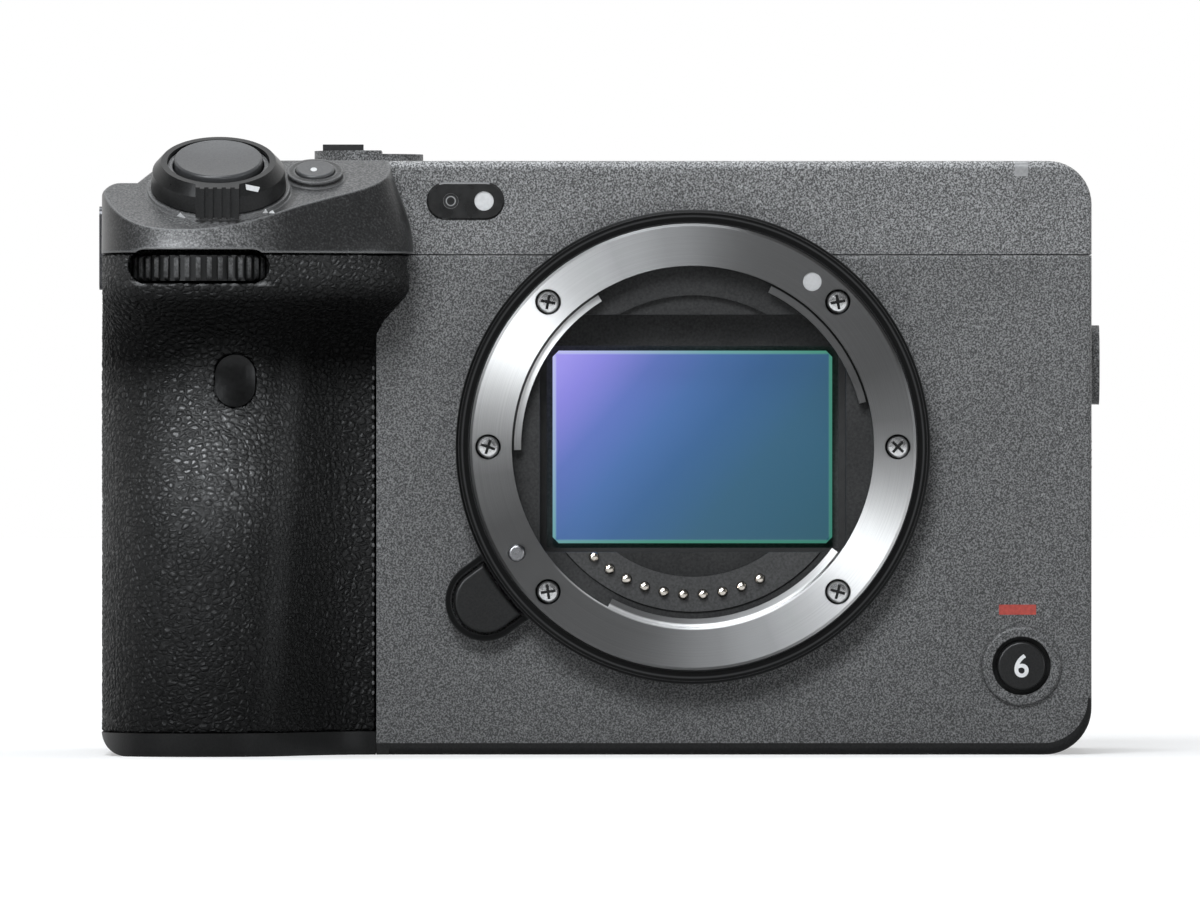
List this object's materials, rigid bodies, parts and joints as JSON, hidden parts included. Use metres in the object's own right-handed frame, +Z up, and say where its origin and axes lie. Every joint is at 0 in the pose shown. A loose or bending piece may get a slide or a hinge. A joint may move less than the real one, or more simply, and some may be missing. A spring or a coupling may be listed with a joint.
{
  "type": "cinema camera",
  "caption": "Compact cinema camera body with an open bayonet mount, grip, swing-out monitor, doors, dials and stabilised sensor.",
  "frame": {"origin": "mouth of the tripod socket on the base plane, straight under the optical axis", "axes": "+Z up, the lens mount faces -Y, the grip is on the -X side"},
  "size_m": [0.1296, 0.0843, 0.0798],
  "materials": {
    "body_paint": "fine textured paint",
    "base_black": "satin black paint",
    "black_plastic": "matte",
    "control_black": "satin",
    "grip_rubber": "leather grain",
    "window_black": "gloss",
    "lamp_white": "gloss",
    "tally_lens": "gloss",
    "mount_metal": "turned",
    "screw_metal": "satin",
    "contact_gold": "polished",
    "button_grey": "satin",
    "inner_metal": "satin",
    "shutter_black": "matte black",
    "sensor_glass": "coated",
    "sensor_ceramic": "matte",
    "board_green": "satin",
    "battery_grey": "matte",
    "socket_steel": "satin",
    "screen_glass": "gloss"
  },
  "bodies": {
    "root": {"front_cover": "body_paint", "top_cover": "body_paint", "rear_cover": "body_paint", "base_plate": "base_black", "grip_shell": "black_plastic", "grip_skin": "grip_rubber", "grip_crown": "black_plastic", "mount_ring": "mount_metal", "mount_trim": "black_plastic", "mount_screws": "screw_metal", "throat_baffle": "black_plastic", "contact_block": "black_plastic", "lamp_window": "window_black", "lamp_lenses": "lamp_white", "tally_lamp": "tally_lens", "ir_window": "window_black", "chassis": "inner_metal", "shutter_frame": "shutter_black", "sensor_base": "inner_metal", "heat_sink": "inner_metal", "fan_housing": "black_plastic", "main_board": "board_green", "card_reader": "socket_steel", "battery": "battery_grey", "battery_box": "black_plastic", "accessory_shoe": "socket_steel", "thread_bushes": "screw_metal", "connectors": "socket_steel", "strap_lugs": "socket_steel", "case_screws": "screw_metal"},
    "release_button": {"release_button": "button_grey"},
    "zoom_lever": {"zoom_lever": "control_black"},
    "deck_button": {"deck_button": "button_grey"},
    "power_switch": {"power_switch": "button_grey"},
    "front_dial": {"front_dial": "control_black"},
    "lens_release": {"lens_release": "control_black"},
    "lock_pin": {"lock_pin": "mount_metal"},
    "lens_contacts": {"lens_contacts": "contact_gold"},
    "record_button": {"record_button": "control_black"},
    "shutter_blade_1": {"shutter_blade_1": "shutter_black"},
    "shutter_blade_2": {"shutter_blade_2": "shutter_black"},
    "shutter_blade_3": {"shutter_blade_3": "shutter_black"},
    "sensor_frame": {"sensor_frame": "inner_metal"},
    "fan_rotor": {"fan_rotor": "black_plastic"},
    "battery_door": {"battery_door": "black_plastic"},
    "battery_latch": {"battery_latch": "control_black"},
    "card_door": {"card_door": "black_plastic"},
    "audio_door": {"audio_door": "black_plastic"},
    "video_door": {"video_door": "black_plastic"},
    "rear_dial": {"rear_dial": "control_black"},
    "control_wheel": {"control_wheel": "control_black"},
    "wheel_button": {"wheel_button": "control_black"},
    "joystick": {"joystick": "control_black"},
    "menu_button": {"menu_button": "control_black"},
    "play_button": {"play_button": "control_black"},
    "monitor": {"monitor_arm": "base_black", "monitor_housing": "control_black", "monitor_glass": "screen_glass"},
    "sensor_stage": {"sensor_stage": "sensor_ceramic", "sensor_glass": "sensor_glass"}
  },
  "joints": [
    {"name": "release_press", "type": "slide", "parent": "root", "child": "release_button", "axis": [0, 0.4384, -0.8988], "range_m": [0, 0.001], "stiffness_N_per_m": 300},
    {"name": "zoom_turn", "type": "hinge", "parent": "root", "child": "zoom_lever", "pos_m": [-0.0611, -0.0332, 0.07278], "axis": [0, -0.4384, 0.8988], "range_deg": [-25, 25], "stiffness_Nm_per_rad": 0.02},
    {"name": "deck_press", "type": "slide", "parent": "root", "child": "deck_button", "axis": [0, 0.4384, -0.8988], "range_m": [0, 0.0006], "stiffness_N_per_m": 300},
    {"name": "power_turn", "type": "hinge", "parent": "root", "child": "power_switch", "pos_m": [-0.0422, 0.004, 0.0768], "axis": [0, 0, 1], "range_deg": [0, 35]},
    {"name": "front_dial_turn", "type": "hinge", "parent": "root", "child": "front_dial", "pos_m": [-0.0635, -0.0352, 0.0611], "axis": [0, 0, 1], "continuous": true},
    {"name": "rear_dial_turn", "type": "hinge", "parent": "root", "child": "rear_dial", "pos_m": [-0.062, 0.0282, 0.0662], "axis": [0, 0, 1], "continuous": true},
    {"name": "lens_release_press", "type": "slide", "parent": "root", "child": "lens_release", "axis": [0, 1, 0], "range_m": [0, 0.0012], "stiffness_N_per_m": 300},
    {"name": "lock_pin_slide", "type": "slide", "parent": "root", "child": "lock_pin", "axis": [0, 1, 0], "range_m": [0, 0.0015]},
    {"name": "contacts_press", "type": "slide", "parent": "root", "child": "lens_contacts", "axis": [0, 1, 0], "range_m": [0, 0.0008], "stiffness_N_per_m": 300},
    {"name": "record_press", "type": "slide", "parent": "root", "child": "record_button", "axis": [0, 1, 0], "range_m": [0, 0.0005], "stiffness_N_per_m": 300},
    {"name": "shutter_1_slide", "type": "slide", "parent": "root", "child": "shutter_blade_1", "axis": [0, 0, -1], "range_m": [0, 0.0278]},
    {"name": "shutter_2_slide", "type": "slide", "parent": "root", "child": "shutter_blade_2", "axis": [0, 0, -1], "range_m": [0, 0.01853]},
    {"name": "shutter_3_slide", "type": "slide", "parent": "root", "child": "shutter_blade_3", "axis": [0, 0, -1], "range_m": [0, 0.00927]},
    {"name": "sensor_shift_x", "type": "slide", "parent": "root", "child": "sensor_frame", "axis": [1, 0, 0], "range_m": [-0.001, 0.001]},
    {"name": "sensor_shift_z", "type": "slide", "parent": "sensor_frame", "child": "sensor_stage", "axis": [0, 0, 1], "range_m": [-0.001, 0.001]},
    {"name": "fan_turn", "type": "hinge", "parent": "root", "child": "fan_rotor", "pos_m": [0.036, 0.012, 0.042], "axis": [0, 1, 0], "continuous": true},
    {"name": "monitor_swing", "type": "hinge", "parent": "root", "child": "monitor", "pos_m": [0.0496, 0.0332, 0.016], "axis": [0, 0, -1], "range_deg": [0, 176]},
    {"name": "battery_door_swing", "type": "hinge", "parent": "root", "child": "battery_door", "pos_m": [-0.0466, -0.02105, 0.001], "axis": [0, -1, 0], "range_deg": [0, 90]},
    {"name": "battery_latch_slide", "type": "slide", "parent": "battery_door", "child": "battery_latch", "axis": [0, 1, 0], "range_m": [0, 0.003]},
    {"name": "card_door_swing", "type": "hinge", "parent": "root", "child": "card_door", "pos_m": [-0.0757, 0.0308, 0.014], "axis": [0, 0, -1], "range_deg": [0, 90]},
    {"name": "audio_door_swing", "type": "hinge", "parent": "root", "child": "audio_door", "pos_m": [0.0509, 0.0018, 0.044], "axis": [0, 0, 1], "range_deg": [0, 90]},
    {"name": "video_door_swing", "type": "hinge", "parent": "root", "child": "video_door", "pos_m": [0.0509, 0.0018, 0.01], "axis": [0, 0, 1], "range_deg": [0, 90]},
    {"name": "control_wheel_turn", "type": "hinge", "parent": "root", "child": "control_wheel", "pos_m": [-0.053, 0.0355, 0.026], "axis": [0, 1, 0], "continuous": true},
    {"name": "wheel_press", "type": "slide", "parent": "root", "child": "wheel_button", "axis": [0, -1, 0], "range_m": [0, 0.0005], "stiffness_N_per_m": 300},
    {"name": "joystick_tilt", "type": "hinge", "parent": "root", "child": "joystick", "pos_m": [-0.0455, 0.0335, 0.0545], "axis": [1, 0, 0], "range_deg": [-8, 8], "stiffness_Nm_per_rad": 0.01},
    {"name": "menu_press", "type": "slide", "parent": "root", "child": "menu_button", "axis": [0, -1, 0], "range_m": [0, 0.0005], "stiffness_N_per_m": 300},
    {"name": "play_press", "type": "slide", "parent": "root", "child": "play_button", "axis": [0, -1, 0], "range_m": [0, 0.0005], "stiffness_N_per_m": 300}
  ],
  "couplings": [
    {"joint": "lock_pin_slide", "follows": "lens_release_press", "ratio": 1.25},
    {"joint": "shutter_2_slide", "follows": "shutter_1_slide", "ratio": 0.6666},
    {"joint": "shutter_3_slide", "follows": "shutter_1_slide", "ratio": 0.3333}
  ]
}
